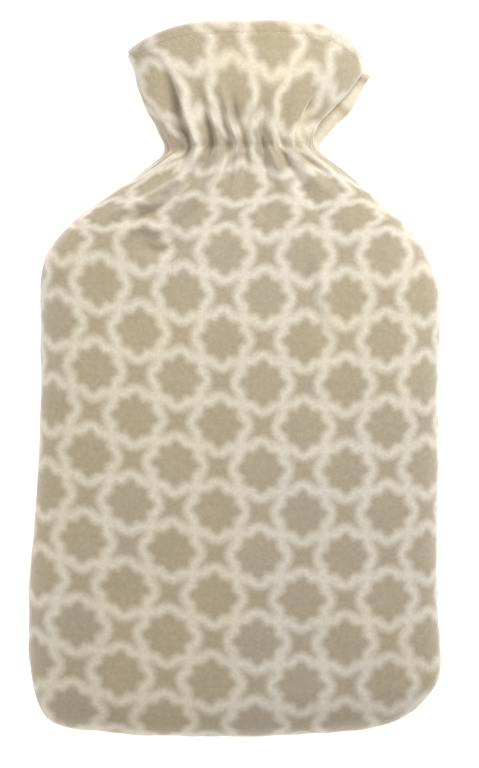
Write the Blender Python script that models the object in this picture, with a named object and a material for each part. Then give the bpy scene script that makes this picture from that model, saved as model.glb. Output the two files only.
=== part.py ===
"""Hot water bottle cover: two cut panels of fleece, sewn together round the sides and the bottom.

The cover lies on its back, +Z up, with its open frilled mouth towards +Y. A bottle goes in through the mouth and the
gathered neck. Each panel is one thin closed sheet whose edge turns in at the seam and whose top edge is a hem.
The origin is the centre of the whole cover's box, at its underside. Lengths are in metres; the tables are in millimetres.
"""

from collections import namedtuple

import bpy
import numpy as np

MM = 0.001

FLEECE = 2.5 * MM  # thickness of the fleece
HEM = 1.5 * MM  # how much thicker the turned-in hem is
HEM_DEPTH = 6 * MM  # how far the hem reaches down from the mouth's edge
SEAM_GAP = 0.3 * MM  # between the two panels, where they are sewn
SEAM_TURN = 3.0 * MM  # outer radius of the turn into the seam
SEAM_ALLOWANCE = 4.0 * MM  # the flat strip inside, past the turn

ROWS = 28  # rows of points from the bottom seam to the mouth
COLUMNS = 37  # points across a panel, from seam to seam
CURVE_POINTS = 240  # points that a cross-section is measured with
FLAT_SHARE = 1.08  # over 1, the back's roundness is cut off flat, where it lies on the surface
FOLLOW = 0.4  # how much of a gather shows on the inside of the cloth
BOTTOM_ROUND = 34.0  # how far up from the bottom seam the cover rounds, in millimetres
BOTTOM_BEND = 2.5  # exponent of that rounding

# The cover from the bottom seam to the mouth, in millimetres. y is a row's height at its middle, left_end and right_end
# how much higher the row's two ends are, and left_bow and right_bow how late it bends towards them. left, right and
# back_right are the panels' widest places: the back panel shows past the front one at the frill's right. top, seam and
# under are heights above the surface. square is the exponent of the section's rounded shape, and gather the strength
# of the gathers.
Section = namedtuple(
    "Section", "y left right back_right left_end right_end left_bow right_bow top seam under square gather"
)
SECTIONS = (
    Section(0.0, -98.0, 90.0, 90.0, 9.0, 11.0, 5, 4, 33.0, 13.0, 0.0, 7.0, 0.00),
    Section(2.0, -101.0, 94.0, 94.0, 9.5, 11.5, 5, 4, 33.0, 13.0, 0.0, 7.0, 0.00),
    Section(6.5, -103.2, 98.0, 98.0, 9.5, 11.5, 5, 4, 33.0, 13.0, 0.0, 7.0, 0.00),
    Section(13.0, -105.2, 102.8, 102.8, 9.0, 11.0, 5, 4, 33.0, 13.0, 0.0, 7.0, 0.00),
    Section(22.0, -106.9, 107.2, 107.2, 8.0, 9.0, 5, 4, 33.5, 13.5, 0.0, 7.0, 0.00),
    Section(34.0, -107.6, 107.8, 107.8, 5.0, 5.0, 5, 4, 34.0, 14.0, 0.0, 7.0, 0.00),
    Section(52.0, -107.9, 107.0, 107.0, 2.0, 2.0, 5, 4, 35.0, 14.0, 0.0, 7.0, 0.00),
    Section(80.0, -107.5, 105.8, 105.8, 0.0, 0.0, 5, 4, 35.5, 14.0, 0.0, 7.0, 0.00),
    Section(112.0, -105.0, 106.0, 106.0, 0.0, 0.0, 4, 4, 36.0, 14.0, 0.0, 7.0, 0.00),
    Section(145.0, -102.8, 106.8, 106.8, 0.0, 0.0, 4, 4, 36.5, 14.0, 0.0, 7.0, 0.00),
    Section(180.0, -101.5, 106.4, 106.4, 0.0, 0.0, 4, 4, 36.5, 14.0, 0.0, 7.0, 0.00),
    Section(212.0, -101.5, 107.4, 107.4, -2.0, -2.0, 3, 4, 36.0, 14.0, 0.0, 7.0, 0.00),
    Section(238.0, -101.8, 106.9, 106.9, -4.0, -4.0, 3, 5, 35.5, 14.0, 0.0, 7.0, 0.04),
    Section(258.0, -99.7, 101.8, 101.8, -9.0, -9.0, 3, 6, 35.0, 14.0, 0.0, 6.5, 0.12),
    Section(275.0, -91.2, 92.8, 92.8, -12.0, -11.0, 3, 6, 34.5, 14.5, 0.3, 6.0, 0.30),
    Section(289.0, -76.0, 78.0, 78.0, -12.0, -11.0, 3, 6, 34.0, 15.0, 1.2, 5.0, 0.60),
    Section(300.0, -55.0, 59.0, 59.0, -8.5, -5.5, 3, 5, 34.0, 15.5, 2.5, 4.0, 0.90),
    Section(309.0, -37.4, 43.5, 45.0, -3.5, -2.0, 3, 4, 34.5, 16.0, 4.0, 3.0, 1.00),
    Section(318.0, -40.8, 42.0, 50.8, 0.0, 0.0, 3, 4, 35.5, 16.0, 4.0, 2.8, 0.95),
    Section(331.0, -46.6, 49.5, 59.7, -3.0, -4.5, 3, 4, 37.0, 16.0, 3.5, 2.6, 0.70),
    Section(346.0, -51.0, 59.2, 65.6, -5.0, -9.5, 3, 4, 38.5, 15.5, 2.8, 2.5, 0.42),
    Section(361.0, -54.0, 65.8, 70.8, -8.5, -15.0, 3, 4, 39.5, 15.0, 2.0, 2.4, 0.20),
    Section(374.5, -56.0, 67.2, 68.6, -14.5, -20.0, 3, 4, 40.0, 15.0, 1.2, 2.4, 0.08),
)

# The gathers across each panel: at is a place from the left seam (-1) to the right one (1), and height how far a
# ridge stands out, or a trough sinks in, at the neck, in millimetres.
Gather = namedtuple("Gather", "at height")
FRONT_GATHERS = (
    Gather(-1.00, 0.0),
    Gather(-0.90, 0.8),
    Gather(-0.80, 0.0),
    Gather(-0.67, -2.0),
    Gather(-0.57, 2.6),
    Gather(-0.47, 0.4),
    Gather(-0.39, -2.2),
    Gather(-0.32, 2.0),
    Gather(-0.24, -1.4),
    Gather(-0.16, 1.6),
    Gather(-0.08, -1.8),
    Gather(0.05, 0.9),
    Gather(0.15, 1.6),
    Gather(0.24, -1.6),
    Gather(0.34, 2.0),
    Gather(0.49, -1.2),
    Gather(0.62, 1.0),
    Gather(0.73, -1.6),
    Gather(0.85, 2.0),
    Gather(0.94, 0.6),
    Gather(1.00, 0.0),
)
BACK_GATHERS = (
    Gather(-1.00, 0.0),
    Gather(-0.88, 1.6),
    Gather(-0.74, -1.8),
    Gather(-0.60, 1.8),
    Gather(-0.44, -1.6),
    Gather(-0.31, 1.4),
    Gather(-0.16, -2.0),
    Gather(-0.02, 1.8),
    Gather(0.12, -1.4),
    Gather(0.25, 1.2),
    Gather(0.40, -2.0),
    Gather(0.54, 1.8),
    Gather(0.67, -1.2),
    Gather(0.80, 1.8),
    Gather(0.91, -1.0),
    Gather(1.00, 0.0),
)

PRINT_COLOUR = (0.50, 0.43, 0.33, 1.0)


def column(name):
    """One column of the table of sections, as an array."""
    return np.array([getattr(section, name) for section in SECTIONS])


def smooth(values, places):
    """A smooth curve through values, which stand at places 0, 1, 2 and so on."""
    slopes = np.gradient(values)
    start = np.clip(np.floor(places).astype(int), 0, len(values) - 2)
    t = places - start
    first, last = values[start], values[start + 1]
    bend = t * t * (3 - 2 * t)
    leave = t * (1 - t) ** 2
    arrive = t * t * (t - 1)
    return first + (last - first) * bend + slopes[start] * leave + slopes[start + 1] * arrive


def gathered(gathers, across):
    """The height of the gathers at places across a panel: half cosine waves between ridges and troughs."""
    at = np.array([gather.at for gather in gathers])
    height = np.array([gather.height for gather in gathers])
    index = np.clip(np.searchsorted(at, across, side="right") - 1, 0, len(at) - 2)
    share = (across - at[index]) / (at[index + 1] - at[index])
    return height[index] + (height[index + 1] - height[index]) * (1 - np.cos(np.pi * share)) / 2


def section_curve(row, up, across):
    """One row of a panel without its gathers: x, y and z at places across, evenly spaced along the cloth."""
    left, right = row["left"], row["right"] if up > 0 else row["back_right"]
    edge = row["seam"] + up * (SEAM_TURN + SEAM_GAP / 2) / MM
    height = (row["top"] - edge) if up > 0 else (edge - row["under"])
    share = -np.cos(np.linspace(0, np.pi, CURVE_POINTS))
    roundness = np.sqrt(1 - np.abs(share) ** row["square"])
    if up < 0:
        roundness = np.minimum(1, FLAT_SHARE * roundness)
    x = (left + right) / 2 + share * (right - left) / 2
    bow = np.where(
        share < 0,
        row["left_end"] * np.abs(share) ** row["left_bow"],
        row["right_end"] * np.abs(share) ** row["right_bow"],
    )
    fill = np.sqrt(1 - np.clip(1 - row["y"] / BOTTOM_ROUND, 0, 1) ** BOTTOM_BEND)
    points = np.stack([x, row["y"] + bow, edge + up * height * fill * roundness], axis=1)
    steps = np.linalg.norm(np.diff(points, axis=0), axis=1)
    along = np.concatenate([[0], np.cumsum(steps)])
    places = (across + 1) / 2 * along[-1]
    return np.stack([np.interp(places, along, points[:, k]) for k in range(3)], axis=1)


def normals_of(grid):
    """Unit normals of a grid of points, on the side where rows run left to right and up."""
    normal = np.cross(np.gradient(grid, axis=1), np.gradient(grid, axis=0))
    return normal / np.linalg.norm(normal, axis=2, keepdims=True)


def outline_of(grid):
    """The edge that is sewn: down the left side, along the bottom and up the right side. Also where it points out."""
    rows, columns = grid.shape[:2]
    numbers = np.arange(rows * columns).reshape(rows, columns)
    path = np.concatenate([numbers[:0:-1, 0], numbers[0], numbers[1:, -1]])
    points = grid.reshape(-1, 3)[path]
    direction = np.gradient(points[:, :2], axis=0)
    outward = np.stack([direction[:, 1], -direction[:, 0], np.zeros(len(path))], axis=1)
    return path, outward / np.linalg.norm(outward, axis=1, keepdims=True)


def grid_faces(numbers):
    """Quads between neighbouring numbers of a grid."""
    return np.stack(
        [numbers[:-1, :-1], numbers[:-1, 1:], numbers[1:, 1:], numbers[1:, :-1]], axis=-1
    ).reshape(-1, 4)


def open_edges(faces):
    """The directed edges that only one face uses."""
    edges = np.concatenate([faces[:, [k, (k + 1) % 4]] for k in range(4)])
    _, index, count = np.unique(
        np.sort(edges, axis=1), axis=0, return_inverse=True, return_counts=True
    )
    return edges[count[index.reshape(-1)] == 1]


def panel_surfaces(gathers, up):
    """Outer and inner points of a panel, and the faces of its outer side. up is 1 for the front and -1 for the back."""
    places = np.linspace(0, len(SECTIONS) - 1, ROWS)
    table = {name: smooth(column(name), places) for name in Section._fields}
    across = np.linspace(-1, 1, COLUMNS)
    rows = [{name: values[i] for name, values in table.items()} for i in range(ROWS)]
    grid = np.array([section_curve(row, up, across) for row in rows]) * MM
    path, outward = outline_of(grid)
    normal = up * normals_of(grid)
    normal.reshape(-1, 3)[path] = outward
    ridges = gathered(gathers, across)[None, :, None] * table["gather"][:, None, None] * MM
    outer = grid + normal * ridges
    from_mouth = grid[-1, :, 1][None, :] - grid[:, :, 1]
    thickness = FLEECE + HEM * (from_mouth < HEM_DEPTH)
    inner = grid + normal * (FOLLOW * ridges - thickness[:, :, None])
    if up < 0:
        outer[:, :, 2] = np.maximum(outer[:, :, 2], 0)
        inner[:, :, 2] = np.maximum(inner[:, :, 2], outer[:, :, 2] + FLEECE / 2)
    return outer, inner, path, outward


def turned_in(edge, outward, up, extra):
    """The rings of points that follow the sewn edge round its turn and in along the seam allowance: outer and inner."""
    rise = np.array([0, 0, -up])
    middle = edge - SEAM_TURN * outward
    reach = (SEAM_ALLOWANCE + extra)[:, None] * outward
    inside = SEAM_TURN - FLEECE
    half = np.sqrt(0.5)
    outer = [
        middle + SEAM_TURN * half * (outward + rise),
        middle + SEAM_TURN * rise,
        middle + SEAM_TURN * rise - reach,
    ]
    inner = [
        middle + inside * half * (outward + rise),
        middle + inside * rise,
        middle + inside * rise - reach,
    ]
    return np.array(outer), np.array(inner)


def extra_allowance(edge, up):
    """How much further the back panel's allowance reaches, so that it ends under the front panel's."""
    if up > 0:
        return np.zeros(len(edge))
    places = np.linspace(0, len(SECTIONS) - 1, ROWS)
    past = (smooth(column("back_right"), places) - smooth(column("right"), places)) * MM
    extra = np.zeros(len(edge))
    extra[-ROWS:] = past
    return extra


def build_panel(name, gathers, up):
    """One panel as a closed sheet: its outer and inner sides, joined along every open edge."""
    outer, inner, path, outward = panel_surfaces(gathers, up)
    edge = outer.reshape(-1, 3)[path]
    rings_out, rings_in = turned_in(edge, outward, up, extra_allowance(edge, up))
    side_points = outer.shape[0] * outer.shape[1]
    ring_numbers = side_points + np.arange(rings_out.shape[0] * len(path)).reshape(-1, len(path))
    numbers = np.arange(side_points).reshape(outer.shape[:2])
    faces = np.concatenate(
        [grid_faces(numbers), grid_faces(np.concatenate([path[None], ring_numbers]))[:, ::-1]]
    )
    if up < 0:
        faces = faces[:, ::-1]
    points = np.concatenate(
        [outer.reshape(-1, 3), rings_out.reshape(-1, 3), inner.reshape(-1, 3), rings_in.reshape(-1, 3)]
    )
    layer = len(points) // 2
    edges = open_edges(faces)
    rim = np.stack([edges[:, 1], edges[:, 0], edges[:, 0] + layer, edges[:, 1] + layer], axis=1)
    faces = np.concatenate([faces, faces[:, ::-1] + layer, rim])
    mesh = bpy.data.meshes.new(name)
    mesh.from_pydata(points.tolist(), [], faces.tolist())
    mesh.shade_smooth()
    panel = bpy.data.objects.new(name, mesh)
    bpy.context.scene.collection.objects.link(panel)
    return panel


def fleece_material():
    """Matt printed fleece in the print's mean colour."""
    material = bpy.data.materials.new("printed_fleece")
    material.use_nodes = True
    shader = material.node_tree.nodes["Principled BSDF"]
    shader.inputs["Base Color"].default_value = PRINT_COLOUR
    shader.inputs["Roughness"].default_value = 0.95
    shader.inputs["Metallic"].default_value = 0.0
    return material


def centre(panels):
    """Moves the panels' points so that the origin is the middle of their box, at its underside."""
    points = [vertex.co for panel in panels for vertex in panel.data.vertices]
    low = np.min(points, axis=0)
    high = np.max(points, axis=0)
    for panel in panels:
        for vertex in panel.data.vertices:
            vertex.co.x -= (low[0] + high[0]) / 2
            vertex.co.y -= (low[1] + high[1]) / 2
            vertex.co.z -= low[2]


def main():
    for obj in list(bpy.data.objects):
        bpy.data.objects.remove(obj)
    panels = [
        build_panel("front_panel", FRONT_GATHERS, 1),
        build_panel("back_panel", BACK_GATHERS, -1),
    ]
    material = fleece_material()
    for panel in panels:
        panel.data.materials.append(material)
    centre(panels)


main()
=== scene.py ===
"""Looks of the hot water bottle cover: two panels of printed fleece, with folds, hem, seam and stitches.

The cover lies on its back with its frilled mouth towards +Y, as its solids do. Sizes here are in
millimetres until a mesh is made. Places on a panel are across, from the left seam (-1) to the right one
(1), and a row's height. A panel's up is 1 for the front and -1 for the back.
"""

import math
from collections import namedtuple

import bpy
import numpy as np
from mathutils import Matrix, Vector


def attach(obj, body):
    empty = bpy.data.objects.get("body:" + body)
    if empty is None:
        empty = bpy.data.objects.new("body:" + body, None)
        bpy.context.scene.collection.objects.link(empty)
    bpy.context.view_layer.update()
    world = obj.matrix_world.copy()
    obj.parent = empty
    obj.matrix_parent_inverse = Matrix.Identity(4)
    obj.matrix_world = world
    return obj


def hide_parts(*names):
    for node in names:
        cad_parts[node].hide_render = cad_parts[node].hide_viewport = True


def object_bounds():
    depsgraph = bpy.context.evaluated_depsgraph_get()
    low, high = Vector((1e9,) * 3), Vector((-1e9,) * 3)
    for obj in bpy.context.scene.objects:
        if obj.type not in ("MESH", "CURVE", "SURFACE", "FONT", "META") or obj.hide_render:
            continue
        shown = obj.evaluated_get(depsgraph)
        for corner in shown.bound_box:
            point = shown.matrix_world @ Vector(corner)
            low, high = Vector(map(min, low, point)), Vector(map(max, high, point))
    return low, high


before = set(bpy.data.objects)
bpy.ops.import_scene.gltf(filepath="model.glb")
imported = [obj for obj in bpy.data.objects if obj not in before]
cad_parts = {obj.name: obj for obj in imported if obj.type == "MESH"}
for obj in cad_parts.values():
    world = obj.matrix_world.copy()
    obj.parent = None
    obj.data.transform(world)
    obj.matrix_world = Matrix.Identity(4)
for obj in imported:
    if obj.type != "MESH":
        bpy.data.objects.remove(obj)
cad_low, cad_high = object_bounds()

MM = 0.001
BOTTOM = cad_low.y / MM  # where the rows of the table below are counted from

# ---- the cloth's own sizes

FLEECE = 2.5  # thickness of the fleece
HEM = 1.5  # how much thicker the turned-in hem is
HEM_DEPTH = 5.6  # the hem's stitch line, below the mouth's edge
HEM_PROUD = 0.20  # how far the hem stands out
HEM_GROOVE, HEM_GROOVE_WIDTH = 0.28, 1.1  # how far its stitches pull it in, and how wide that shows
HEM_THINS, HEM_FADES = 8, 30  # exponents with which its thickness and its relief end at the seams
SEAM_GAP = 0.3  # between the panels, where they are sewn
SEAM_TURN = 3.0  # outer radius of the turn into the seam
SEAM_ALLOWANCE = 3.2  # the strip inside, past the turn
FLAT_SHARE = 1.08  # over 1, the back's roundness is cut off flat, where it lies on the surface
PRESSED = 0.6  # the share of its thickness that the back keeps where it is pressed flat
BOTTOM_ROUND, BOTTOM_BEND = 26.0, 2.5  # how far up the bottom rounds, and that rounding's exponent
LATE_BOW, LATE_BEND = 0.3, 14  # the share of the bottom's bow that its corners take, and its exponent
NECK = 309.0  # height of the line that the neck is gathered on
FOLLOW = 0.6  # how much of a fold shows on the inside of the cloth
FRONT_PULLED, BACK_PULLED = 2.2, 4.0  # how far the hem draws in each panel's mouth
MOUTH_SOFT = 14.0  # how far below the mouth that fades out

# Soft waves as a height and a length: of the seam in and out, of the mouth's edge, and of the cloth.
SEAM_WAVE = (0.35, 19.0)
MOUTH_WAVE = (0.40, 17.0)
LONG_WAVE = (0.35, 46.0)
SHORT_WAVE = (0.12, 13.0)

ROW_STEPS = ((0, 20, 9), (20, 21, 14), (21, 22, 28))  # from and to a table row, and points for each
COLUMNS = 181
CURVE_POINTS = 360
TURN_RINGS = 5
RIM_STEPS = 5

# The cover from the bottom seam to the mouth. y is a row's height at its middle, left_end and right_end
# how much higher the row's two ends are, and left_bow and right_bow how late it bends towards them. left,
# right and back_right are the panels' widest places. top, seam and under are heights above the surface,
# and square is the exponent of the section's rounded shape.
Section = namedtuple(
    "Section", "y left right back_right left_end right_end left_bow right_bow top seam under square"
)
SECTIONS = (
    Section(0.0, -94.5, 88.0, 88.0, 6.8, 10.0, 2.2, 2.2, 33.0, 13.0, 0.0, 7.0),
    Section(2.0, -98.6, 93.2, 93.2, 7.8, 11.4, 2.6, 2.4, 33.0, 13.0, 0.0, 7.0),
    Section(6.5, -101.7, 98.0, 98.0, 8.0, 11.4, 3.0, 2.7, 33.0, 13.0, 0.0, 7.0),
    Section(13.0, -104.2, 102.6, 102.6, 8.0, 10.2, 3.5, 3.0, 33.0, 13.0, 0.0, 7.0),
    Section(22.0, -106.1, 106.6, 106.6, 7.0, 7.8, 4, 3.5, 33.5, 13.5, 0.0, 7.0),
    Section(34.0, -107.2, 107.8, 107.8, 4.8, 4.8, 4.5, 4, 34.0, 14.0, 0.0, 7.0),
    Section(52.0, -107.9, 107.0, 107.0, 2.0, 2.0, 5, 4, 35.0, 14.0, 0.0, 7.0),
    Section(80.0, -107.5, 105.8, 105.8, 0.0, 0.0, 5, 4, 35.5, 14.0, 0.0, 7.0),
    Section(112.0, -105.0, 106.0, 106.0, 0.0, 0.0, 4, 4, 36.0, 14.0, 0.0, 7.0),
    Section(145.0, -102.8, 106.8, 106.8, 0.0, 0.0, 4, 4, 36.5, 14.0, 0.0, 7.0),
    Section(180.0, -101.5, 106.4, 106.4, 0.0, 0.0, 4, 4, 36.5, 14.0, 0.0, 7.0),
    Section(212.0, -101.5, 107.4, 107.4, -2.0, -2.0, 3, 4, 36.0, 14.0, 0.0, 7.0),
    Section(238.0, -101.8, 106.9, 106.9, -4.0, -4.0, 3, 5, 35.5, 14.0, 0.0, 7.0),
    Section(258.0, -99.7, 101.8, 101.8, -9.0, -9.0, 3, 6, 35.0, 14.0, 0.0, 6.5),
    Section(275.0, -91.2, 92.8, 92.8, -12.0, -11.0, 3, 6, 34.5, 14.5, 0.3, 6.0),
    Section(289.0, -76.0, 78.0, 78.0, -12.0, -11.0, 3, 6, 34.0, 15.0, 1.2, 5.0),
    Section(300.0, -55.0, 59.0, 59.0, -8.5, -5.5, 3, 5, 34.0, 15.5, 2.5, 4.0),
    Section(309.0, -37.4, 43.5, 45.0, -3.5, -2.0, 3, 4, 34.5, 16.0, 4.0, 3.0),
    Section(318.0, -40.8, 42.0, 50.8, 0.0, 0.0, 3, 4, 35.5, 16.0, 4.0, 2.8),
    Section(331.0, -46.6, 49.5, 59.7, -3.0, -4.5, 3, 4, 37.0, 16.0, 3.5, 2.6),
    Section(346.0, -51.0, 59.2, 65.6, -5.0, -9.3, 3, 4.3, 38.5, 15.5, 2.8, 2.5),
    Section(361.0, -54.0, 65.8, 70.8, -8.5, -14.5, 3, 4.8, 39.5, 15.0, 2.0, 2.4),
    Section(374.5, -56.0, 67.4, 68.6, -14.5, -19.0, 3, 5.3, 40.0, 15.0, 1.2, 2.4),
)

# A fold is a soft ridge, or a trough where its height is below zero. It runs along the points, seen from
# above with the cover's middle at 0, 0. It is highest at peak, a share of its way, and fades out at both
# ends. right_flank and left_flank are how wide its two sides are.
Fold = namedtuple("Fold", "height peak right_flank left_flank points")
FRONT_FOLDS = (
    Fold(5.0, 0.48, 4.6, 2.0, ((-41.5, 175), (-36.5, 165), (-31.5, 155.5), (-28.2, 147), (-24.5, 136),
                               (-20, 122), (-25, 107), (-38, 99), (-49, 93), (-61, 88.5))),
    Fold(-4.2, 0.45, 2.2, 5.5, ((-42, 170), (-37.7, 163), (-34.0, 156), (-31.4, 149), (-29.0, 138),
                                (-25, 122), (-32, 107), (-43, 100.5), (-54, 96))),
    Fold(2.0, 0.50, 3.4, 3.6, ((-48, 156), (-39.5, 140), (-31, 122), (-40, 109), (-57, 99))),
    Fold(3.8, 0.42, 3.6, 2.0, ((-22, 160), (-15.2, 147.7), (-12.4, 138), (-8.5, 122), (-14, 105),
                               (-27, 90), (-41, 81), (-50, 80.5), (-61, 77.5))),
    Fold(-4.0, 0.45, 2.0, 3.4, ((-24, 160), (-18.4, 148), (-15.4, 138), (-12.6, 122), (-20, 107),
                                (-30, 96.5), (-39.5, 90), (-49, 87), (-57, 83))),
    Fold(3.2, 0.36, 1.4, 1.6, ((-9.5, 160), (-6.2, 148), (-3.0, 136), (1.0, 122), (0, 104), (-6, 86),
                               (-14, 70))),
    Fold(-3.4, 0.42, 2.4, 1.8, ((-2.6, 157), (-1.2, 144), (0.4, 135), (4.6, 122), (5, 105), (2, 88))),
    Fold(-3.6, 0.40, 1.8, 2.8, ((-13, 153), (-9.8, 144), (-6.6, 135), (-3.4, 122), (-9, 103), (-20, 87),
                                (-37, 73), (-47, 71))),
    Fold(2.4, 0.40, 2.8, 3.0, ((7, 158), (10, 142), (9.6, 122), (9, 104), (4, 80))),
    Fold(-3.2, 0.42, 2.4, 2.6, ((15, 158), (14.6, 142), (14.2, 122), (16, 104), (15, 84), (11, 64))),
    Fold(3.2, 0.40, 3.4, 2.8, ((24, 168), (20.6, 144), (19.4, 122), (24, 104), (29, 84), (31, 58))),
    Fold(-3.2, 0.45, 2.6, 3.4, ((36, 164), (27.4, 143), (24.2, 122), (32, 106), (42, 90), (51, 76))),
    Fold(3.0, 0.45, 3.0, 3.6, ((56, 166), (37, 143), (28.8, 122), (38, 108), (52, 94), (64, 82))),
    Fold(-4.0, 0.38, 1.9, 2.2, ((48, 157), (41.4, 146), (36.8, 136), (32.4, 122), (43, 109), (58, 96))),
    Fold(2.6, 0.42, 2.8, 2.6, ((60, 158), (46, 140), (36.6, 122), (49, 110), (66, 96))),
    Fold(4.6, 0.55, 3.6, 2.4, ((-22, 112), (-29, 103), (-38, 97), (-49, 91.5), (-60, 87), (-74, 81))),
    Fold(-5.2, 0.48, 2.4, 3.0, ((-24, 104), (-31, 94), (-39.5, 87.5), (-49, 84.5), (-57, 80.5),
                                (-67, 74))),
    Fold(3.4, 0.52, 2.8, 2.4, ((-27, 90), (-33, 80.5), (-41, 77.5), (-50, 79), (-61, 75), (-69, 68))),
    Fold(-4.2, 0.42, 2.4, 3.2, ((-24, 80), (-31, 69), (-40, 65.5), (-47, 67.5), (-56, 64))),
    Fold(2.2, 0.50, 2.6, 3.6, ((42, 76), (43.0, 62), (46.5, 48), (48.4, 36), (52.4, 22), (56, 4))),
    Fold(-1.6, 0.50, 3.0, 3.0, ((37, 74), (37.0, 60), (40.5, 46), (42.4, 34), (45.4, 20), (49, 4))),
)

# The back's folds: one ridge or trough after the other across the neck, each turning outwards.
BACK_FOLDS = 19
BACK_FOLD_HEIGHT, BACK_FOLD_FLANK, BACK_FOLD_PEAK = 2.6, 2.4, 0.45
BACK_FOLDS_REACH = 0.86  # the outermost ones' place across
BACK_MIDDLE = 2.5  # where the neck's middle is
MOUTH_HALF, FRILL_WIDTH_HALF, NECK_HALF = 60.0, 46.0, 38.0  # half of what they span at three heights
BACK_SPREAD = 1.15  # how much they turn outwards below the neck

# The neck's fine puckers, and the line that it is gathered on.
PUCKER_HEIGHT, PUCKER_LENGTH = 0.5, 3.6
PUCKER_REACH = 15.0  # how far above and below the neck they fade out
PUCKER_SPAN, PUCKER_STRETCH = 46.0, 0.16  # how they are laid out across, and drawn out up and down
GATHER_DEPTH, GATHER_WIDTH = 1.3, 2.2
RELIEF_FADES = 14  # the exponent with which all relief ends at the seams

# ---- the print: eight-pointed stars and small four-armed ones between pale lines. Its unit is half its
# repeat.

PRINT_LENGTH = 100.0  # the length that the next sizes are given for
PRINT_ROW = 100.0  # the row that keeps its place, from which the print is measured up and down the cloth
PRINT_MIDDLE = (0.326, -1.09)  # how far the cover's middle is from a star's, across and down, in units
UNITS_ACROSS = 4.575  # units across in that length, and down
UNITS_DOWN = 4.448
PRINT_LEAN = (-0.127, -0.236)  # units that the columns lean over, and the rows drop
PRINT_NARROWS = 0.206  # how many more units there are across, that much further up
PRINT_BOW = (0.083, 0.264)  # how much the columns crowd and the rows bow at the sides
FRILL_ROW = 337.0  # a row of the frill, where the next three are so
FRILL_MIDDLE, FRILL_HALF = 0.205, 3.27  # the frill's middle and half width, in units
FRILL_DOWN = -8.035  # its place down
FRILL_DRIFT, FRILL_SPREAD, FRILL_RISE = 0.0095, -0.0101, -0.0352  # their change for each millimetre up
FRILL_TURN, FRILL_LEAN = 0.0093, -0.194  # how much the print's rows follow the fanned rows, and lean over
GATHERED_FROM, GATHERED_TO = 262.0, 309.0  # the rows between which the gathers draw the print in

STAR = 0.503  # a star's middle radius
STAR_POINTS, STAR_LONG = 0.042, 0.019  # how far its points stand out, and how much more every second one
LOBE_PLACE, LOBE_RADIUS = 0.488, 0.272  # the round lobes of the pale line, and how far they reach
ARM = 0.527  # how far a small star's arms reach
LOBE_MELT = 0.5  # how softly the lobes run into each other
STAR_SOFT, LINE_SOFT = 0.125, 0.115  # how far the print's edges blur into the nap


def column(name):
    """One column of the table of sections, as an array."""
    return np.array([getattr(section, name) for section in SECTIONS])


def smooth(values, places):
    """A smooth curve through values, which stand at places 0, 1, 2 and so on: a cubic with the slopes
    between neighbours. Values can be numbers or points."""
    values = np.asarray(values, dtype=float)
    slopes = np.gradient(values, axis=0)
    start = np.clip(np.floor(places).astype(int), 0, len(values) - 2)
    t = places - start
    if values.ndim > 1:
        t = t[:, None]
    first, last = values[start], values[start + 1]
    bend = t * t * (3 - 2 * t)
    leaving = slopes[start] * t * (1 - t) ** 2
    arriving = slopes[start + 1] * t * t * (t - 1)
    return first + (last - first) * bend + leaving + arriving


def eased(values, low, high):
    """0 below low, 1 above high, and a smooth S between."""
    share = np.clip((values - low) / (high - low), 0, 1)
    return share * share * (3 - 2 * share)


def ripple(points, size, seed):
    """Soft uneven waves over points (x, y), about as long as size: a sum of sines in seeded directions,
    from about -1 to 1."""
    count, usual_height = 11, 4.5
    random = np.random.default_rng(seed)
    total = np.zeros(points.shape[:-1])
    for turn, stretch, phase in random.random((count, 3)):
        angle = 2 * np.pi * turn
        length = size * (0.7 + 0.9 * stretch)
        along = points[..., 0] * np.cos(angle) + points[..., 1] * np.sin(angle)
        total += np.sin(2 * np.pi * (along / length + phase))
    return total / usual_height


# ---- a panel's smooth shape


def row_places():
    """The places in the table that rows of points stand at."""
    parts = [np.linspace(a, b, (b - a) * count, endpoint=False) for a, b, count in ROW_STEPS]
    return np.append(np.concatenate(parts), ROW_STEPS[-1][1])


def row_bow(row, share):
    """How much higher a row is at each share of its half width: its end's height times |share|^bow. Near
    the bottom seam a part of that is |share|^LATE_BEND instead, which rounds the corners."""
    late = LATE_BOW * max(0.0, 1 - row["y"] / BOTTOM_ROUND)
    corner = late * np.abs(share) ** LATE_BEND
    left = row["left_end"] * ((1 - late) * np.abs(share) ** row["left_bow"] + corner)
    right = row["right_end"] * ((1 - late) * np.abs(share) ** row["right_bow"] + corner)
    return np.where(share < 0, left, right)


def section_curve(row, up, across):
    """One row of a panel without its folds, and half its length along the cloth. The height over the seam
    is sqrt(1 - |share|^square), share being the place between the widest points."""
    left, right = row["left"], row["right"] if up > 0 else row["back_right"]
    edge = row["seam"] + up * (SEAM_TURN + SEAM_GAP / 2)
    height = (row["top"] - edge) if up > 0 else (edge - row["under"])
    share = -np.cos(np.linspace(0, np.pi, CURVE_POINTS))
    roundness = np.sqrt(1 - np.abs(share) ** row["square"])
    if up < 0:
        roundness = np.minimum(1, FLAT_SHARE * roundness)
    x = (left + right) / 2 + share * (right - left) / 2
    fill = np.sqrt(1 - np.clip(1 - row["y"] / BOTTOM_ROUND, 0, 1) ** BOTTOM_BEND)
    points = np.stack([x, row["y"] + row_bow(row, share), edge + up * height * fill * roundness], axis=1)
    along = np.concatenate([[0], np.cumsum(np.linalg.norm(np.diff(points, axis=0), axis=1))])
    places = (across + 1) / 2 * along[-1]
    return np.stack([np.interp(places, along, points[:, k]) for k in range(3)], axis=1), along[-1] / 2


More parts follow.
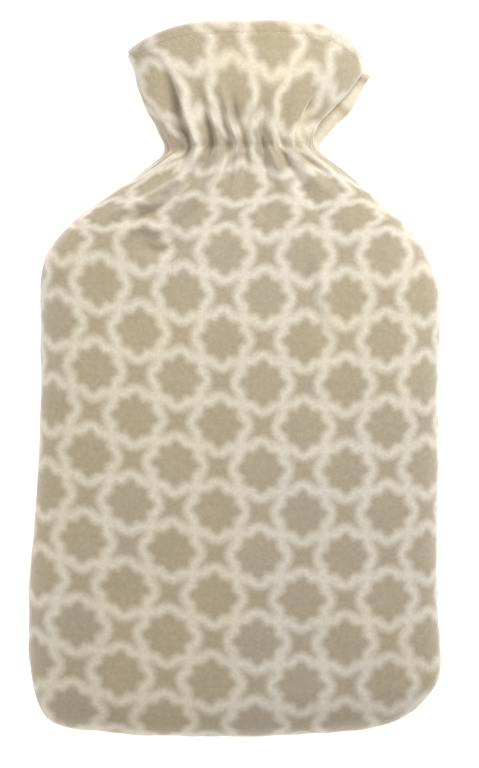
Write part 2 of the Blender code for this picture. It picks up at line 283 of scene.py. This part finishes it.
def smooth_panel(up, across):
    """A panel's grid of points without folds, half of each row's length along the cloth, and the table
    with a value for each row."""
    places = row_places()
    table = {name: smooth(column(name), places) for name in Section._fields}
    rows = [{name: values[i] for name, values in table.items()} for i in range(len(places))]
    curves = [section_curve(row, up, across) for row in rows]
    grid = np.array([curve for curve, _ in curves]) + np.array([0, BOTTOM, 0])
    return grid, np.array([half for _, half in curves]), table


def normals_of(grid):
    """Unit normals of a grid of points, on the side where rows run left to right and up."""
    normal = np.cross(np.gradient(grid, axis=1), np.gradient(grid, axis=0))
    return normal / np.linalg.norm(normal, axis=2, keepdims=True)


def outline_of(grid):
    """The edge that is sewn: down the left side, along the bottom and up the right side. Also where it
    points out."""
    rows, columns = grid.shape[:2]
    numbers = np.arange(rows * columns).reshape(rows, columns)
    path = np.concatenate([numbers[:0:-1, 0], numbers[0], numbers[1:, -1]])
    direction = np.gradient(grid.reshape(-1, 3)[path][:, :2], axis=0)
    outward = np.stack([direction[:, 1], -direction[:, 0], np.zeros(len(path))], axis=1)
    return path, outward / np.linalg.norm(outward, axis=1, keepdims=True)


# ---- folds, puckers and hem


def fold_height(points, fold):
    """How high a fold stands at points (x, y): height times a bell of the distance to its path, where each
    side has its own width, times an S that rises from one end to the peak and falls to the other end."""
    count = 6 * len(fold.points)
    path = smooth(fold.points, np.linspace(0, len(fold.points) - 1, count))
    nearest = np.full(points.shape[:-1], np.inf)
    side = np.zeros(points.shape[:-1])
    way = np.zeros(points.shape[:-1])
    for k in range(count - 1):
        step = path[k + 1] - path[k]
        offset = points - path[k]
        share = np.clip(offset @ step / (step @ step), 0, 1)
        gap = np.linalg.norm(offset - share[..., None] * step, axis=-1)
        closer = gap < nearest
        nearest = np.where(closer, gap, nearest)
        side = np.where(closer, step[0] * offset[..., 1] - step[1] * offset[..., 0], side)
        way = np.where(closer, (k + share) / (count - 1), way)
    flank = np.where(side > 0, fold.right_flank, fold.left_flank)
    swell = eased(way, 0, fold.peak) * (1 - eased(way, fold.peak, 1))
    return fold.height * swell * np.exp(-((nearest / flank) ** 2))


def back_folds():
    """The back's folds: ridges and troughs in turn across the neck, which spread out above and below it."""
    random = np.random.default_rng(12)
    neck_line = NECK + BOTTOM
    folds = []
    for k, place in enumerate(np.linspace(-BACK_FOLDS_REACH, BACK_FOLDS_REACH, BACK_FOLDS)):
        uneven = random.random(4)
        neck = BACK_MIDDLE + NECK_HALF * (place + 0.03 * (uneven[0] - 0.5))
        height = BACK_FOLD_HEIGHT * (1 if k % 2 else -1) * (0.6 + 0.6 * uneven[1])
        top = 138.0 + 26.0 * uneven[2]
        foot = 96.0 - 30.0 * uneven[3] + 22.0 * abs(place)
        spread = (neck_line - foot) * BACK_SPREAD * place
        points = (
            (BACK_MIDDLE + MOUTH_HALF * place, top),
            (BACK_MIDDLE + FRILL_WIDTH_HALF * place, 0.5 * (top + neck_line)),
            (neck, neck_line),
            (neck + 0.35 * spread, 0.5 * (neck_line + foot)),
            (neck + spread, foot),
        )
        folds.append(Fold(height, BACK_FOLD_PEAK, BACK_FOLD_FLANK, BACK_FOLD_FLANK, points))
    return folds


def soft_waves(points, wave_size, seed):
    """Soft waves of a height and a length over points (x, y)."""
    height, length = wave_size
    return height * ripple(points, length, seed)


def relief(grid, across, heights, folds, seed):
    """How far the cloth stands out from its smooth shape: its folds, fine puckers along the neck, the
    shallow line that the neck is gathered on, and very soft waves all over. It fades out at the seams."""
    points = grid[..., :2]
    total = sum(fold_height(points, fold) for fold in folds)
    from_neck = heights[:, None] - NECK
    puckers = np.exp(-((from_neck / PUCKER_REACH) ** 2)) * PUCKER_HEIGHT
    laid_out = np.broadcast_arrays(across[None, :] * PUCKER_SPAN, from_neck * PUCKER_STRETCH)
    total = total + puckers * ripple(np.stack(laid_out, axis=-1), PUCKER_LENGTH, seed)
    total = total - GATHER_DEPTH * np.exp(-((from_neck / GATHER_WIDTH) ** 2))
    total = total + soft_waves(points, LONG_WAVE, seed + 1) + soft_waves(points, SHORT_WAVE, seed + 2)
    return total * (1 - np.abs(across[None, :]) ** RELIEF_FADES)


def hem_relief(from_mouth):
    """The hem stands a little proud, with a narrow groove where it is stitched down."""
    body = HEM_PROUD * (1 - eased(from_mouth, HEM_DEPTH - 2.0, HEM_DEPTH + 2.5))
    groove = HEM_GROOVE * np.exp(-(((from_mouth - HEM_DEPTH) / HEM_GROOVE_WIDTH) ** 2))
    return body - groove


def thickness_of(from_mouth, across):
    """The cloth's thickness: the fleece's, and the hem's as far as its stitch line, less at the seams."""
    hem = HEM * (1 - eased(from_mouth, HEM_DEPTH, HEM_DEPTH + 1.5))
    return FLEECE + hem * (1 - np.abs(across) ** HEM_THINS)


def print_places(grid, across, table, half_lengths):
    """Where each point is on the print, in units across and down. On the body it follows the distance
    along the cloth. Towards the neck it turns into even shares of the drawn-in width."""
    heights = table["y"]
    middle = (table["left"] + table["right"]) / 2
    x = (middle[:, None] + across[None, :] * half_lengths[:, None]) / PRINT_LENGTH
    steps = np.diff(grid[..., 1:], axis=0)
    lengths = np.linalg.norm(steps, axis=2) * np.sign(steps[..., 0])
    along = np.concatenate([np.zeros((1, grid.shape[1])), np.cumsum(lengths, axis=0)])
    anchor = np.argmin(np.abs(heights - PRINT_ROW))
    y = (along - along[anchor] + grid[anchor, :, 1]) / PRINT_LENGTH
    lean = PRINT_LEAN[0] * y
    body_across = PRINT_MIDDLE[0] + (UNITS_ACROSS + PRINT_NARROWS * y) * x + lean + PRINT_BOW[0] * x * x
    body_down = PRINT_MIDDLE[1] - UNITS_DOWN * y + PRINT_LEAN[1] * x + PRINT_BOW[1] * x * x
    up = heights[:, None] - FRILL_ROW
    frill_across = FRILL_MIDDLE + FRILL_DRIFT * up + across[None, :] * (FRILL_HALF + FRILL_SPREAD * up)
    bow = grid[..., 1] - (heights[:, None] + BOTTOM)
    frill_down = FRILL_DOWN + FRILL_RISE * up + FRILL_TURN * bow + FRILL_LEAN * across[None, :]
    drawn = eased(heights, GATHERED_FROM, GATHERED_TO)[:, None]
    units_across = body_across + (frill_across - body_across) * drawn
    units_down = body_down + (frill_down - body_down) * drawn
    return np.stack([units_across, units_down], axis=-1)


# ---- a panel's mesh


def grid_faces(numbers):
    """Quads between neighbouring numbers of a grid."""
    corners = [numbers[:-1, :-1], numbers[:-1, 1:], numbers[1:, 1:], numbers[1:, :-1]]
    return np.stack(corners, axis=-1).reshape(-1, 4)


def make_mesh(name, points, faces, material, units=None, inside=None):
    """A piece from its points in millimetres and its faces, riding on the cover. units are its places on
    the print, and inside is 1 on the cloth's inner side."""
    mesh = bpy.data.meshes.new(name)
    mesh.from_pydata((points * MM).tolist(), [], faces.tolist())
    corners = np.empty(len(mesh.loops), dtype=np.int32)
    mesh.loops.foreach_get("vertex_index", corners)
    if units is not None:
        layer = mesh.uv_layers.new(name="print")
        layer.data.foreach_set("uv", units[corners].astype(np.float32).ravel())
    if inside is not None:
        attribute = mesh.attributes.new("inside", "FLOAT", "POINT")
        attribute.data.foreach_set("value", inside.astype(np.float32))
    mesh.shade_smooth()
    mesh.materials.append(material)
    piece = bpy.data.objects.new(name, mesh)
    bpy.context.scene.collection.objects.link(piece)
    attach(piece, "root")
    return piece


def panel_shape(up, folds, seed):
    """A panel's surfaces: its outer and inner grids, its sewn edge, where that points out, how much more
    seam it has there, its print places, and each point's distance below the mouth."""
    across = np.linspace(-1, 1, COLUMNS)
    grid, half_lengths, table = smooth_panel(up, across)
    path, outward = outline_of(grid)
    edge_wave = soft_waves(grid.reshape(-1, 3)[path][:, :2], SEAM_WAVE, seed + 5)
    normal = up * normals_of(grid)
    normal.reshape(-1, 3)[path] = outward
    from_mouth = grid[-1, :, 1][None, :] - grid[:, :, 1]
    folded = relief(grid, across, table["y"], folds, seed)
    outer = grid + normal * (folded + hem_relief(from_mouth) * (1 - np.abs(across) ** HEM_FADES))[..., None]
    outer.reshape(-1, 3)[path] += outward * edge_wave[:, None]
    pulled = FRONT_PULLED if up > 0 else BACK_PULLED
    mouth_shift = soft_waves(grid[..., :2], MOUTH_WAVE, seed + 6) - pulled
    outer[..., 1] += (1 - eased(from_mouth, 0, MOUTH_SOFT)) * mouth_shift
    inner = outer + normal * ((FOLLOW - 1) * folded - thickness_of(from_mouth, across))[..., None]
    extra = np.zeros(len(path))
    if up < 0:
        outer[..., 2] = np.maximum(outer[..., 2], 0)
        pressed = FLEECE * PRESSED * np.abs(normal[..., 2])
        inner[..., 2] = np.maximum(inner[..., 2], outer[..., 2] + pressed)
        extra[-len(grid):] = table["back_right"] - table["right"]
    return outer, inner, path, outward, extra, print_places(grid, across, table, half_lengths), from_mouth


def turned_in(edge, outward, up, extra, radius):
    """The rings of points that follow the sewn edge round its quarter turn and in along the seam
    allowance."""
    rise = np.array([0, 0, -up])
    middle = edge - SEAM_TURN * outward
    angles = np.linspace(0, np.pi / 2, TURN_RINGS + 1)[1:]
    rings = [middle + radius * (np.cos(a) * outward + np.sin(a) * rise) for a in angles]
    reach = (SEAM_ALLOWANCE + extra)[:, None] * outward
    return np.array(rings + [rings[-1] - reach])


def rim_of(outer, inner, reach):
    """The half-round edge between a sheet's outer and inner side: points on half circles, which bulge
    along reach."""
    middle = (outer + inner) / 2
    half = (outer - inner) / 2
    radius = np.linalg.norm(half, axis=1, keepdims=True)
    angles = np.linspace(0, np.pi, RIM_STEPS + 2)[1:-1]
    return np.array([middle + half * np.cos(a) + reach * radius * np.sin(a) for a in angles])


def open_edge(numbers, rings, step):
    """The loop round a layer's open edge: along the mouth, in along the right end of the rings, back along
    the last ring, and out along their left end. With step 1 it is the loop of points next to those."""
    last_ring = rings[-1 - step, -2:0:-1]
    return np.concatenate([numbers[-1 - step], rings[:, -1 - step], last_ring, rings[::-1, step]])


def build_panel(name, up, folds, seed, material):
    """A panel as one closed sheet: its outer side and turned-in edge, its inner side, and a round rim
    between."""
    outer, inner, path, outward, extra, units, from_mouth = panel_shape(up, folds, seed)
    edge = outer.reshape(-1, 3)[path]
    rings_out = turned_in(edge, outward, up, extra, SEAM_TURN)
    rings_in = turned_in(edge, outward, up, extra, SEAM_TURN - FLEECE)
    top_points = np.concatenate([outer.reshape(-1, 3), rings_out.reshape(-1, 3)])
    low_points = np.concatenate([inner.reshape(-1, 3), rings_in.reshape(-1, 3)])
    size = outer.shape[0] * outer.shape[1]
    numbers = np.arange(size).reshape(outer.shape[:2])
    rings = size + np.arange(rings_out.shape[0] * len(path)).reshape(-1, len(path))
    seam = grid_faces(np.concatenate([path[None], rings]))
    side = np.concatenate([grid_faces(numbers), seam[:, ::-1]])
    loop = open_edge(numbers, rings, 0)
    reach = top_points[loop] - top_points[open_edge(numbers, rings, 1)]
    reach /= np.linalg.norm(reach, axis=1, keepdims=True)
    rim = rim_of(top_points[loop], low_points[loop], reach)
    layer = len(top_points)
    rim_numbers = 2 * layer + np.arange(rim.shape[0] * len(loop)).reshape(-1, len(loop))
    bands = np.concatenate([loop[None], rim_numbers, loop[None] + layer])
    bands = np.concatenate([bands, bands[:, :1]], axis=1)
    faces = np.concatenate([side, side[:, ::-1] + layer, grid_faces(bands)])
    if up < 0:
        faces = faces[:, ::-1]
    points = np.concatenate([top_points, low_points, rim.reshape(-1, 3)])
    flat_units = units.reshape(-1, 2)
    layer_units = np.concatenate([flat_units, np.tile(flat_units[path], (rings_out.shape[0], 1))])
    rim_units = np.tile(layer_units[loop], (rim.shape[0], 1))
    rim_inside = np.repeat(np.linspace(0, 1, RIM_STEPS + 2)[1:-1], len(loop))
    all_units = np.concatenate([layer_units, layer_units, rim_units])
    inside = np.concatenate([np.zeros(layer), np.ones(layer), rim_inside])
    return make_mesh(name, points, faces, material, all_units, inside), outer, from_mouth


# ---- stitches

THREAD = 0.2  # radius of the sewing thread
STITCH, STITCH_PITCH = 2.3, 3.1  # a stitch's length, and from one to the next
STITCH_UNEVEN = 0.5  # how much a stitch's place varies
STITCH_RISE, STITCH_SUNK = 0.26, 0.12  # how high its middle stands, and how deep its ends are
STITCH_TIP, STITCH_TAPER = 0.004, 0.7  # how thin a stitch's ends are, and how soon they thin
STITCH_STEPS, THREAD_SIDES = 7, 6


def line_across(outer, from_mouth, depth):
    """The line on a panel's outer side where each column is a depth below the mouth, and the cloth's
    normals along it."""
    below = np.argmax(from_mouth[::-1] > depth, axis=0)
    row = len(outer) - 1 - below
    column_numbers = np.arange(outer.shape[1])
    low, high = from_mouth[row, column_numbers], from_mouth[row + 1, column_numbers]
    share = ((low - depth) / (low - high))[:, None]
    points = outer[row, column_numbers] * (1 - share) + outer[row + 1, column_numbers] * share
    return points, normals_of(outer)[row, column_numbers]


def stitch_faces(count):
    """The faces of a row of tubes of thread, each closed with two quads at either end."""
    numbers = np.arange(STITCH_STEPS * THREAD_SIDES).reshape(STITCH_STEPS, THREAD_SIDES)
    wall = grid_faces(np.concatenate([numbers, numbers[:, :1]], axis=1))
    start_cap = numbers[0][[[0, 3, 2, 1], [0, 5, 4, 3]]]
    end_cap = numbers[-1][[[0, 1, 2, 3], [0, 3, 4, 5]]]
    faces = np.concatenate([wall, start_cap, end_cap])
    steps = np.arange(count)[:, None, None] * numbers.size
    return (faces[None] + steps).reshape(-1, 4)


def build_stitches(name, points, normal, material):
    """A row of stitches along a line on the cloth. Each is a closed tube of thread on an arc: its middle
    stands out by a sine and its ends taper into the cloth."""
    along = np.concatenate([[0], np.cumsum(np.linalg.norm(np.diff(points, axis=0), axis=1))])
    starts = np.arange(STITCH_PITCH, along[-1] - STITCH_PITCH, STITCH_PITCH)
    random = np.random.default_rng(len(name))
    starts = starts + STITCH_UNEVEN * (random.random(len(starts)) - 0.5)
    share = np.linspace(0, 1, STITCH_STEPS)
    places = starts[:, None] + share * STITCH
    middle = np.stack([np.interp(places, along, points[:, k]) for k in range(3)], axis=-1)
    out = np.stack([np.interp(places, along, normal[:, k]) for k in range(3)], axis=-1)
    out /= np.linalg.norm(out, axis=-1, keepdims=True)
    run = np.gradient(middle, axis=1)
    run /= np.linalg.norm(run, axis=-1, keepdims=True)
    side = np.cross(run, out)
    bulge = np.sin(np.pi * share)
    middle = middle + out * (STITCH_RISE * bulge - STITCH_SUNK)[None, :, None]
    radius = THREAD * np.sqrt(np.clip(bulge, STITCH_TIP, 1)) ** STITCH_TAPER
    angles = np.linspace(0, 2 * np.pi, THREAD_SIDES, endpoint=False)
    ring = out[:, :, None] * np.cos(angles)[:, None] + side[:, :, None] * np.sin(angles)[:, None]
    tube = middle[:, :, None] + ring * radius[None, :, None, None]
    return make_mesh(name, tube.reshape(-1, 3), stitch_faces(len(starts)), material)


# ---- materials

STAR_COLOUR = (0.432, 0.360, 0.247, 1.0)
LINE_COLOUR = (0.705, 0.634, 0.505, 1.0)
PLAIN_COLOUR = (0.740, 0.690, 0.585, 1.0)  # the unprinted inner side
WARM_TINT = (1.01, 1.0, 0.97, 1.0)
COOL_TINT = (0.985, 1.0, 1.04, 1.0)
SHEEN_TINT = (1.0, 0.97, 0.9, 1.0)
THREAD_SHADE = (0.52, 0.46, 0.35, 1.0)
THREAD_LIGHT = (0.68, 0.61, 0.48, 1.0)

CLUMP_SCALE, NAP_SCALE = 420, 1500  # the nap's matted clumps and its hairs, in features to the metre
PATCH_SCALE, TINT_SCALE = 38, 13  # patches of lighter and darker cloth, and of warmer and cooler
STRAY = 0.07  # how far the print strays from its drawing, in units
CLUMP_FADE, NAP_FADE = 0.14, 0.08  # how much the nap mixes the print's two colours
CLUMP_SHADE, NAP_SHADE, PATCH_SHADE = 0.30, 0.28, 0.12  # how much each lightens and darkens the cloth
TWIST_SCALE = 2600  # the thread's twist


class Shade:
    """A shader socket. Arithmetic on it adds Math nodes, and node() adds any other node beside it."""

    def __init__(self, tree, socket=None):
        self.tree = tree
        self.socket = socket

    def node(self, kind, settings, inputs, output=0):
        """A new node of a type, with its settings and then its sockets' values or links. Returns one
        output."""
        made = self.tree.nodes.new(kind)
        for name, value in settings.items():
            setattr(made, name, value)
        for key, value in inputs.items():
            if isinstance(value, Shade):
                self.tree.links.new(value.socket, made.inputs[key])
            else:
                made.inputs[key].default_value = value
        return Shade(self.tree, made.outputs[output])

    def math(self, operation, *values):
        return self.node("ShaderNodeMath", {"operation": operation}, dict(enumerate(values)))

    def __add__(self, other):
        return self.math("ADD", self, other)

    def __radd__(self, other):
        return self.math("ADD", other, self)

    def __sub__(self, other):
        return self.math("SUBTRACT", self, other)

    def __rsub__(self, other):
        return self.math("SUBTRACT", other, self)

    def __mul__(self, other):
        return self.math("MULTIPLY", self, other)

    def __rmul__(self, other):
        return self.math("MULTIPLY", other, self)

    def __truediv__(self, other):
        return self.math("DIVIDE", self, other)

    def __abs__(self):
        return self.math("ABSOLUTE", self)

    def step(self, low, high):
        """0 below low, 1 above high, and a smooth S between."""
        settings = {"interpolation_type": "SMOOTHSTEP"}
        return self.node("ShaderNodeMapRange", settings, {"Value": self, "From Min": low, "From Max": high})

    def feed(self, shader, name):
        """Links this socket to one of a shader's."""
        self.tree.links.new(self.socket, shader.inputs[name])


def lowest(a, b):
    return a.math("MINIMUM", a, b)


def highest(a, b):
    return a.math("MAXIMUM", a, b)


def distance(a, b):
    """The square root of a^2 + b^2."""
    squares = a * a + b * b
    return squares.math("SQRT", squares)


def blend(start, end, share):
    """A colour share of the way from start to end. Either may be a colour or a socket."""
    return share.node("ShaderNodeMix", {"data_type": "RGBA"}, {0: share, 6: start, 7: end}, output=2)


def tinted(colour, tint):
    """A colour multiplied by another, or by a plain number."""
    settings = {"data_type": "RGBA", "blend_type": "MULTIPLY"}
    return colour.node("ShaderNodeMix", settings, {0: 1.0, 6: colour, 7: tint}, output=2)


def noise(place, scale, detail=2.0, rough=0.5):
    """Noise around 0.5 on places, scale features to the metre."""
    inputs = {"Vector": place, "Scale": scale, "Detail": detail, "Roughness": rough}
    return place.node("ShaderNodeTexNoise", {}, inputs)


def wave(angle, turns):
    """The cosine of a number of times the angle."""
    return angle.math("COSINE", angle * turns)


def trellis(u, v):
    """1 on the print's pale lines and 0 in its stars, blurred between. Stars stand where both (u + v) / 2
    and (u - v) / 2 are whole. A star's radius is a cosine of eight times the angle plus one of four times
    it. The line round it is four round lobes, and ends at the small star between four stars, which lies a
    unit away."""
    first = (u + v) / 2
    second = (u - v) / 2
    first = first - first.math("ROUND", first)
    second = second - second.math("ROUND", second)
    across = abs(first + second)
    down = abs(first - second)
    far = highest(across, down)
    near = lowest(across, down)
    angle = near.math("ARCTAN2", near, far)
    star = distance(across, down) - STAR - STAR_POINTS * wave(angle, 8) - STAR_LONG * wave(angle, 4)
    lobe = LOBE_RADIUS - distance(far - LOBE_PLACE, near)
    arm = distance(1 - far, near) - ARM
    line = lobe.math("SMOOTH_MAX", lobe, arm, LOBE_MELT)
    return star.step(-STAR_SOFT, STAR_SOFT) * line.step(-LINE_SOFT, LINE_SOFT)


def new_material(name, roughness, sheen):
    """A material, its start for nodes, its shader, and Object coordinates."""
    material = bpy.data.materials.new(name)
    material.use_nodes = True
    shader = material.node_tree.nodes["Principled BSDF"]
    shader.inputs["Roughness"].default_value = roughness
    shader.inputs["Specular IOR Level"].default_value = 0.15
    shader.inputs["Sheen Weight"].default_value = sheen
    shader.inputs["Sheen Roughness"].default_value = 0.5
    shader.inputs["Sheen Tint"].default_value = SHEEN_TINT
    start = Shade(material.node_tree)
    place = start.node("ShaderNodeTexCoord", {}, {}, output="Object")
    return material, start, shader, place


def fleece():
    """Brushed fleece: the print soaked into a short nap, in matted clumps, with an unprinted inner side."""
    material, start, shader, place = new_material("printed_fleece", 0.95, 0.9)
    printed = start.node("ShaderNodeUVMap", {"uv_map": "print"}, {})
    inside = start.node("ShaderNodeAttribute", {"attribute_name": "inside"}, {}, output="Fac")
    u = start.node("ShaderNodeSeparateXYZ", {}, {0: printed}, output="X")
    v = start.node("ShaderNodeSeparateXYZ", {}, {0: printed}, output="Y")
    stray_across = noise(place, 95, 2.0) - 0.5
    stray_down = noise(place, 78, 2.0, 0.6) - 0.5
    lines = trellis(u + STRAY * stray_across, v + STRAY * stray_down)
    clumps = noise(place, CLUMP_SCALE, 3.0, 0.6)
    nap = noise(place, NAP_SCALE, 2.0, 0.6)
    patches = noise(place, PATCH_SCALE, 2.0)
    tints = noise(place, TINT_SCALE, 1.0).step(0.35, 0.65)
    faded = lines + CLUMP_FADE * (clumps - 0.5) + NAP_FADE * (nap - 0.5)
    shade = 1 + CLUMP_SHADE * (clumps - 0.5) + NAP_SHADE * (nap - 0.5) + PATCH_SHADE * (patches - 0.5)
    colour = blend(STAR_COLOUR, LINE_COLOUR, faded)
    colour = blend(colour, PLAIN_COLOUR, inside)
    colour = tinted(colour, blend(WARM_TINT, COOL_TINT, tints))
    tinted(colour, shade).feed(shader, "Base Color")
    height = 0.6 * clumps + 0.4 * nap
    bump = start.node("ShaderNodeBump", {}, {"Strength": 0.45, "Distance": 0.0007, "Height": height})
    bump.feed(shader, "Normal")
    return material


def thread():
    """Matt sewing thread in the print's pale colour, with a fine twist."""
    material, start, shader, place = new_material("sewing_thread", 0.7, 0.2)
    twist = noise(place, TWIST_SCALE, 1.0)
    blend(THREAD_SHADE, THREAD_LIGHT, twist).feed(shader, "Base Color")
    bump = start.node("ShaderNodeBump", {}, {"Strength": 0.3, "Distance": 0.0002, "Height": twist})
    bump.feed(shader, "Normal")
    return material


# ---- stage, in metres

FLOOR_HALF, FLOOR_DROP = 3.0, 0.0005
FLOOR_COLOUR = (0.9, 0.9, 0.9, 1.0)
FLOOR_GLOW = 0.6
WHITE = (1.0, 1.0, 1.0, 1.0)
SURROUND = 0.46  # strength of the even light all round
VIEW_HEIGHT = 0.4017  # how much of the surface the view shows from top to bottom
VIEW_CENTRE = (0.00235, -0.0029)
CAMERA_HEIGHT, COVER_HEIGHT = 5.0, 0.020
CAMERA_SENSOR = 36.0  # in millimetres
CAMERA_END = 20.0


def floor():
    """A plain pale floor that glows a little, as paper on a light table does."""
    mesh = bpy.data.meshes.new("floor")
    half = FLOOR_HALF
    corners = [(-half, -half, 0), (half, -half, 0), (half, half, 0), (-half, half, 0)]
    mesh.from_pydata(corners, [], [(0, 1, 2, 3)])
    piece = bpy.data.objects.new("floor", mesh)
    bpy.context.scene.collection.objects.link(piece)
    material = bpy.data.materials.new("pale_floor")
    material.use_nodes = True
    shader = material.node_tree.nodes["Principled BSDF"]
    shader.inputs["Base Color"].default_value = FLOOR_COLOUR
    shader.inputs["Roughness"].default_value = 0.9
    shader.inputs["Emission Color"].default_value = WHITE
    shader.inputs["Emission Strength"].default_value = FLOOR_GLOW
    mesh.materials.append(material)
    piece.location.z = -FLOOR_DROP


def aim(place, target):
    """The rotation that points an object's -Z from place to target, with its +Y up."""
    x, y, z = (b - a for a, b in zip(place, target))
    return (math.atan2(math.hypot(x, y), -z), 0.0, math.atan2(x, -y) + math.pi)


def soft_light(name, place, target, size, power):
    """A square softbox at a place, turned to a target."""
    lamp = bpy.data.lights.new(name, "AREA")
    lamp.size = size
    lamp.energy = power
    light = bpy.data.objects.new(name, lamp)
    light.location = place
    light.rotation_euler = aim(place, target)
    bpy.context.scene.collection.objects.link(light)


def studio():
    """Soft studio light: a box over the head of the cover, low fills on three sides, and an even pale
    surround."""
    soft_light("key", (0.20, 0.44, 0.46), (0.0, 0.03, 0.0), 0.32, 3.35)
    soft_light("left_fill", (-0.75, 0.0, 0.26), (0.0, 0.0, 0.0), 0.6, 1.5)
    soft_light("right_fill", (0.75, -0.05, 0.14), (0.0, 0.0, 0.0), 0.5, 0.7)
    soft_light("foot_fill", (0.0, -1.1, 0.12), (0.0, -0.1, 0.0), 0.3, 1.6)
    world = bpy.data.worlds.new("surround")
    world.use_nodes = True
    world.node_tree.nodes["Background"].inputs["Color"].default_value = WHITE
    world.node_tree.nodes["Background"].inputs["Strength"].default_value = SURROUND
    bpy.context.scene.world = world


def camera():
    """Straight above the cover, from far enough that the view is almost without perspective."""
    data = bpy.data.cameras.new("camera")
    data.sensor_width = CAMERA_SENSOR
    data.lens = CAMERA_SENSOR * (CAMERA_HEIGHT - COVER_HEIGHT) / VIEW_HEIGHT
    data.clip_end = CAMERA_END
    eye = bpy.data.objects.new("camera", data)
    eye.location = (*VIEW_CENTRE, CAMERA_HEIGHT)
    bpy.context.scene.collection.objects.link(eye)
    bpy.context.scene.camera = eye


def sewn(name, up, outer, from_mouth, material):
    """A panel's row of stitches along its hem, a little short of the side seams."""
    ends = 4  # columns that are left bare beside each seam
    points, normal = line_across(outer, from_mouth, HEM_DEPTH)
    return build_stitches(name, points[ends:-ends], up * normal[ends:-ends], material)


def main():
    bpy.context.scene.view_settings.view_transform = "Standard"
    camera()
    floor()
    studio()
    cloth = fleece()
    cotton = thread()
    front, front_outer, front_depth = build_panel("front_panel_fleece", 1, FRONT_FOLDS, 3, cloth)
    back, back_outer, back_depth = build_panel("back_panel_fleece", -1, back_folds(), 7, cloth)
    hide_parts("front_panel")
    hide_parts("back_panel")
    front_hem = sewn("front_hem_stitches", 1, front_outer, front_depth, cotton)
    back_hem = sewn("back_hem_stitches", -1, back_outer, back_depth, cotton)


main()
